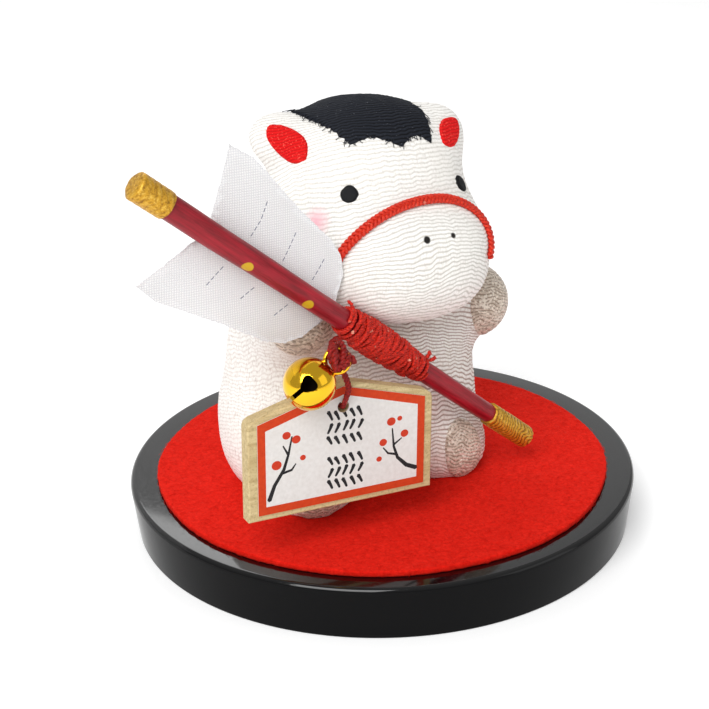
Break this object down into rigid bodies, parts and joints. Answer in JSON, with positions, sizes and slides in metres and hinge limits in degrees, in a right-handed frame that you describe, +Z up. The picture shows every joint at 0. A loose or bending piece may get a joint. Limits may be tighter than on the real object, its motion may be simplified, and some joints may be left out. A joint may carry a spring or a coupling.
{
  "type": "chinese zodiac figure",
  "caption": "Seated crepe-cloth zodiac horse on a round lacquered stand, hugging a lucky arrow with a jingle bell and a votive plaque.",
  "frame": {"origin": "middle of the stand's underside", "axes": "+Z up; the horse faces -Y; +X to the left hand of the horse"},
  "size_m": [0.0964, 0.09, 0.0758],
  "materials": {
    "lacquer": "black gloss lacquer over turned wood",
    "felt": "red felt, hand cut",
    "crepe": "white ribbed crepe cloth pasted over a moulded core",
    "black_crepe": "black ribbed crepe cloth with a frayed edge",
    "red_crepe": "red crepe cloth",
    "lame": "taupe crepe cloth with metallic thread",
    "eye": "black discs",
    "red_cord": "red cord with gold thread",
    "red_wood": "dark red painted dowel",
    "gold_crepe": "gold crepe cloth",
    "vane_cloth": "stiff white open-weave cloth",
    "gold": "bright gold plate",
    "board": "pale unfinished wood",
    "paper": "off-white paper with a printed red border"
  },
  "bodies": {
    "root": {"stand": "lacquer", "felt_mat": "felt", "body": "crepe", "head": "crepe", "mane": "black_crepe", "ear_lining_right": "red_crepe", "ear_lining_left": "red_crepe", "eye_right": "eye", "eye_left": "eye", "bridle": "red_cord", "hoof_hand_right": "lame", "hoof_hand_left": "lame", "hoof_foot_right": "lame", "hoof_foot_left": "lame", "arrow_shaft": "red_wood", "arrow_nock_cap": "gold_crepe", "arrow_tip_cap": "gold_crepe", "fletching": "vane_cloth", "cord_wrap": "red_cord", "bell": "gold", "plaque_board": "board", "plaque_label": "paper", "hanging_cord": "red_cord"}
  },
  "joints": []
}
